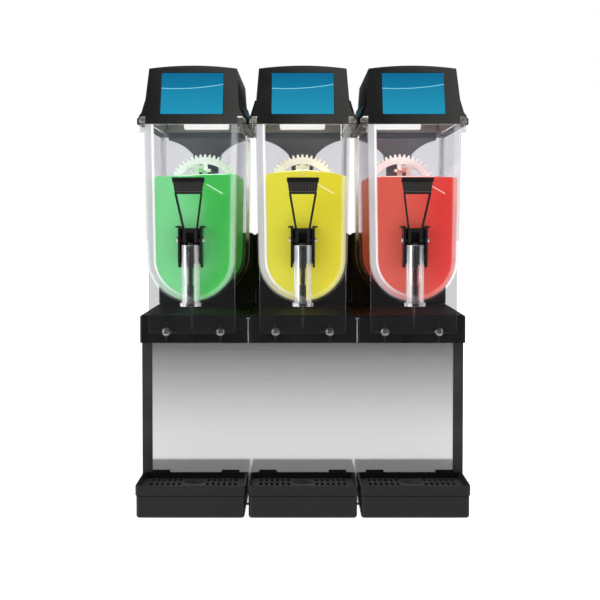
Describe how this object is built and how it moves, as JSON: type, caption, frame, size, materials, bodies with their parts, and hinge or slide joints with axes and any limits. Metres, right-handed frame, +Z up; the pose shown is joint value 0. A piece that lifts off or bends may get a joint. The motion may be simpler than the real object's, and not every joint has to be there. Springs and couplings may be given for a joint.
{
  "type": "slushie machine",
  "caption": "Counter-top frozen drink dispenser: clear bowls with turning augers over a cooled cabinet, levered taps, lift-off lids and pull-out drip trays.",
  "frame": {"origin": "on the counter, under the middle of the machine's bounding box", "axes": "+X to the machine's right as its user faces it, +Y to the back, +Z up"},
  "size_m": [0.6, 0.54, 0.829],
  "materials": {
    "rubber_feet": "matt",
    "dark_steel": "powder coat",
    "brushed_panel": "horizontal brush",
    "bright_steel": "satin",
    "black_plastic": "satin",
    "gloss_black": "glossy",
    "mast_plastic": "satin",
    "lid_plastic": "satin",
    "tray_plastic": "fine grain",
    "label_blue": "printed",
    "switch_red": "glossy",
    "black_enamel": "enamel",
    "fin_metal": "mill",
    "cast_metal": "cast",
    "lamp": "frosted, lit",
    "clear_plate": "clear",
    "clear_bowl": "clear",
    "seal_rubber": "matt",
    "white_plastic": "satin",
    "slush_green": "wet ice",
    "slush_yellow": "wet ice",
    "slush_red": "wet ice"
  },
  "bodies": {
    "chassis": {"feet": "rubber_feet", "base_pan": "dark_steel", "front_panel": "brushed_panel", "front_posts": "black_plastic", "side_panels": "dark_steel", "rear_panel": "dark_steel", "screws": "bright_steel", "power_inlet": "black_plastic", "compressor": "black_enamel", "condenser": "fin_metal", "fan_shroud": "dark_steel", "deck_covers": "gloss_black", "rear_housings": "black_plastic", "gear_motors": "cast_metal", "masts": "mast_plastic", "lamp_lenses": "lamp", "evaporators": "bright_steel", "back_plates": "clear_plate", "bowl_seals": "seal_rubber"},
    "fan": {"fan": "black_plastic"},
    "power_switch": {"power_switch": "switch_red"},
    "bowl_left": {"bowl_left": "clear_bowl", "slush_left": "slush_green", "tap_bracket_left": "black_plastic"},
    "lid_left": {"lid_left": "lid_plastic", "lid_label_left": "label_blue"},
    "tap_lever_left": {"tap_lever_left": "black_plastic"},
    "tap_piston_left": {"tap_piston_left": "black_plastic"},
    "auger_left": {"auger_left": "white_plastic"},
    "mixer_wheel_left": {"mixer_wheel_left": "white_plastic"},
    "drip_tray_left": {"drip_tray_left": "tray_plastic"},
    "drip_grille_left": {"drip_grille_left": "tray_plastic"},
    "knob_left_a": {"knob_left_a": "gloss_black"},
    "knob_left_b": {"knob_left_b": "gloss_black"},
    "bowl_centre": {"bowl_centre": "clear_bowl", "slush_centre": "slush_yellow", "tap_bracket_centre": "black_plastic"},
    "lid_centre": {"lid_centre": "lid_plastic", "lid_label_centre": "label_blue"},
    "tap_lever_centre": {"tap_lever_centre": "black_plastic"},
    "tap_piston_centre": {"tap_piston_centre": "black_plastic"},
    "auger_centre": {"auger_centre": "white_plastic"},
    "mixer_wheel_centre": {"mixer_wheel_centre": "white_plastic"},
    "drip_tray_centre": {"drip_tray_centre": "tray_plastic"},
    "drip_grille_centre": {"drip_grille_centre": "tray_plastic"},
    "knob_centre_a": {"knob_centre_a": "gloss_black"},
    "knob_centre_b": {"knob_centre_b": "gloss_black"},
    "bowl_right": {"bowl_right": "clear_bowl", "slush_right": "slush_red", "tap_bracket_right": "black_plastic"},
    "lid_right": {"lid_right": "lid_plastic", "lid_label_right": "label_blue"},
    "tap_lever_right": {"tap_lever_right": "black_plastic"},
    "tap_piston_right": {"tap_piston_right": "black_plastic"},
    "auger_right": {"auger_right": "white_plastic"},
    "mixer_wheel_right": {"mixer_wheel_right": "white_plastic"},
    "drip_tray_right": {"drip_tray_right": "tray_plastic"},
    "drip_grille_right": {"drip_grille_right": "tray_plastic"},
    "knob_right_a": {"knob_right_a": "gloss_black"},
    "knob_right_b": {"knob_right_b": "gloss_black"}
  },
  "joints": [
    {"name": "bowl_slide_left", "type": "slide", "parent": "chassis", "child": "bowl_left", "axis": [0, -1, 0], "range_m": [0, 0.4]},
    {"name": "lid_lift_left", "type": "slide", "parent": "bowl_left", "child": "lid_left", "axis": [0, 0, 1], "range_m": [0, 0.15]},
    {"name": "tap_pull_left", "type": "hinge", "parent": "bowl_left", "child": "tap_lever_left", "pos_m": [-0.2, -0.215, 0.511], "axis": [1, 0, 0], "range_deg": [0, 50], "stiffness_Nm_per_rad": 0.4, "springref_deg": -14.32},
    {"name": "piston_lift_left", "type": "slide", "parent": "bowl_left", "child": "tap_piston_left", "axis": [0, 0, 1], "range_m": [0, 0.014]},
    {"name": "auger_spin_left", "type": "hinge", "parent": "chassis", "child": "auger_left", "pos_m": [-0.2, 0, 0.477], "axis": [0, 1, 0], "continuous": true},
    {"name": "mixer_spin_left", "type": "hinge", "parent": "chassis", "child": "mixer_wheel_left", "pos_m": [-0.2, 0, 0.6045], "axis": [0, 1, 0], "continuous": true},
    {"name": "tray_slide_left", "type": "slide", "parent": "chassis", "child": "drip_tray_left", "axis": [0, -1, 0], "range_m": [0, 0.15]},
    {"name": "grille_lift_left", "type": "slide", "parent": "drip_tray_left", "child": "drip_grille_left", "axis": [0, 0, 1], "range_m": [0, 0.1]},
    {"name": "knob_turn_left_a", "type": "hinge", "parent": "chassis", "child": "knob_left_a", "pos_m": [-0.2495, -0.15, 0.342], "axis": [0, 1, 0], "range_deg": [0, 90]},
    {"name": "knob_turn_left_b", "type": "hinge", "parent": "chassis", "child": "knob_left_b", "pos_m": [-0.1505, -0.15, 0.342], "axis": [0, 1, 0], "range_deg": [0, 90]},
    {"name": "bowl_slide_centre", "type": "slide", "parent": "chassis", "child": "bowl_centre", "axis": [0, -1, 0], "range_m": [0, 0.4]},
    {"name": "lid_lift_centre", "type": "slide", "parent": "bowl_centre", "child": "lid_centre", "axis": [0, 0, 1], "range_m": [0, 0.15]},
    {"name": "tap_pull_centre", "type": "hinge", "parent": "bowl_centre", "child": "tap_lever_centre", "pos_m": [0, -0.215, 0.511], "axis": [1, 0, 0], "range_deg": [0, 50], "stiffness_Nm_per_rad": 0.4, "springref_deg": -14.32},
    {"name": "piston_lift_centre", "type": "slide", "parent": "bowl_centre", "child": "tap_piston_centre", "axis": [0, 0, 1], "range_m": [0, 0.014]},
    {"name": "auger_spin_centre", "type": "hinge", "parent": "chassis", "child": "auger_centre", "pos_m": [0, 0, 0.477], "axis": [0, 1, 0], "continuous": true},
    {"name": "mixer_spin_centre", "type": "hinge", "parent": "chassis", "child": "mixer_wheel_centre", "pos_m": [0, 0, 0.6045], "axis": [0, 1, 0], "continuous": true},
    {"name": "tray_slide_centre", "type": "slide", "parent": "chassis", "child": "drip_tray_centre", "axis": [0, -1, 0], "range_m": [0, 0.15]},
    {"name": "grille_lift_centre", "type": "slide", "parent": "drip_tray_centre", "child": "drip_grille_centre", "axis": [0, 0, 1], "range_m": [0, 0.1]},
    {"name": "knob_turn_centre_a", "type": "hinge", "parent": "chassis", "child": "knob_centre_a", "pos_m": [-0.0495, -0.15, 0.342], "axis": [0, 1, 0], "range_deg": [0, 90]},
    {"name": "knob_turn_centre_b", "type": "hinge", "parent": "chassis", "child": "knob_centre_b", "pos_m": [0.0495, -0.15, 0.342], "axis": [0, 1, 0], "range_deg": [0, 90]},
    {"name": "bowl_slide_right", "type": "slide", "parent": "chassis", "child": "bowl_right", "axis": [0, -1, 0], "range_m": [0, 0.4]},
    {"name": "lid_lift_right", "type": "slide", "parent": "bowl_right", "child": "lid_right", "axis": [0, 0, 1], "range_m": [0, 0.15]},
    {"name": "tap_pull_right", "type": "hinge", "parent": "bowl_right", "child": "tap_lever_right", "pos_m": [0.2, -0.215, 0.511], "axis": [1, 0, 0], "range_deg": [0, 50], "stiffness_Nm_per_rad": 0.4, "springref_deg": -14.32},
    {"name": "piston_lift_right", "type": "slide", "parent": "bowl_right", "child": "tap_piston_right", "axis": [0, 0, 1], "range_m": [0, 0.014]},
    {"name": "auger_spin_right", "type": "hinge", "parent": "chassis", "child": "auger_right", "pos_m": [0.2, 0, 0.477], "axis": [0, 1, 0], "continuous": true},
    {"name": "mixer_spin_right", "type": "hinge", "parent": "chassis", "child": "mixer_wheel_right", "pos_m": [0.2, 0, 0.6045], "axis": [0, 1, 0], "continuous": true},
    {"name": "tray_slide_right", "type": "slide", "parent": "chassis", "child": "drip_tray_right", "axis": [0, -1, 0], "range_m": [0, 0.15]},
    {"name": "grille_lift_right", "type": "slide", "parent": "drip_tray_right", "child": "drip_grille_right", "axis": [0, 0, 1], "range_m": [0, 0.1]},
    {"name": "knob_turn_right_a", "type": "hinge", "parent": "chassis", "child": "knob_right_a", "pos_m": [0.1505, -0.15, 0.342], "axis": [0, 1, 0], "range_deg": [0, 90]},
    {"name": "knob_turn_right_b", "type": "hinge", "parent": "chassis", "child": "knob_right_b", "pos_m": [0.2495, -0.15, 0.342], "axis": [0, 1, 0], "range_deg": [0, 90]},
    {"name": "fan_spin", "type": "hinge", "parent": "chassis", "child": "fan", "pos_m": [0, 0.245, 0.15], "axis": [0, 1, 0], "continuous": true},
    {"name": "switch_rock", "type": "hinge", "parent": "chassis", "child": "power_switch", "pos_m": [0.165, 0.262, 0.06], "axis": [-1, 0, 0], "range_deg": [0, 14]}
  ],
  "couplings": [
    {"joint": "piston_lift_left", "follows": "tap_pull_left", "m_per_rad": 0.016041},
    {"joint": "mixer_spin_left", "follows": "auger_spin_left", "ratio": -0.73469},
    {"joint": "piston_lift_centre", "follows": "tap_pull_centre", "m_per_rad": 0.016041},
    {"joint": "mixer_spin_centre", "follows": "auger_spin_centre", "ratio": -0.73469},
    {"joint": "piston_lift_right", "follows": "tap_pull_right", "m_per_rad": 0.016041},
    {"joint": "mixer_spin_right", "follows": "auger_spin_right", "ratio": -0.73469}
  ]
}
